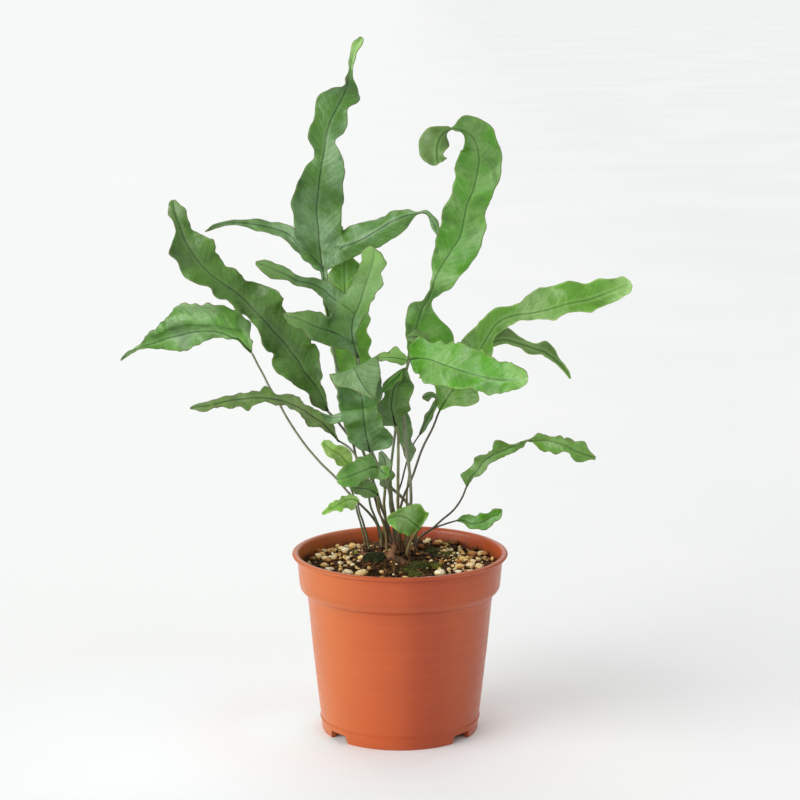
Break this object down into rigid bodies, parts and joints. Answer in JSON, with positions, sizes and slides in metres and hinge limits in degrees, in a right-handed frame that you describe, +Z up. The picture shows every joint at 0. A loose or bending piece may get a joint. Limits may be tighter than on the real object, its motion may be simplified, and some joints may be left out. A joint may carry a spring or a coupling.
{
  "type": "potted fern",
  "caption": "Young strap fern with waved and lobed fronds, growing in gritty soil in a round tapered plastic nursery pot.",
  "frame": {"origin": "middle of the pot's foot, on the surface that the pot stands on", "axes": "+Z up the plant, its longest extent; +X to the right and -Y towards someone who looks at the front"},
  "size_m": [0.2878, 0.1218, 0.3832],
  "materials": {
    "pot_plastic": "satin terracotta-coloured plastic",
    "soil": "dark damp potting soil with pale pumice grains",
    "rhizome": "dry brown bark and roots",
    "leaf_blue_green": "smooth satin leaf",
    "leaf_bright_green": "smooth satin leaf",
    "leaf_mid_green": "smooth satin leaf",
    "leaf_dark_green": "smooth satin leaf"
  },
  "bodies": {
    "root": {"pot": "pot_plastic", "soil": "soil", "rhizome": "rhizome", "frond_tall_centre": "leaf_blue_green", "frond_right_arching": "leaf_bright_green", "frond_right_far": "leaf_bright_green", "frond_right_broad": "leaf_bright_green", "frond_left_long": "leaf_blue_green", "frond_left_folded": "leaf_blue_green", "frond_left_low": "leaf_dark_green", "frond_centre_three_lobed": "leaf_blue_green", "frond_behind_centre": "leaf_mid_green", "frond_low_centre": "leaf_blue_green", "frond_centre_right": "leaf_dark_green", "frond_centre_right_narrow": "leaf_dark_green", "frond_curled_dark": "leaf_dark_green", "frond_small_left": "leaf_bright_green", "frond_front_bright": "leaf_bright_green", "frond_front_under": "leaf_mid_green", "frond_small_blue": "leaf_blue_green", "frond_small_front_left": "leaf_bright_green", "frond_front_round": "leaf_bright_green", "frond_right_twisted": "leaf_mid_green", "frond_right_low": "leaf_mid_green"}
  },
  "joints": []
}
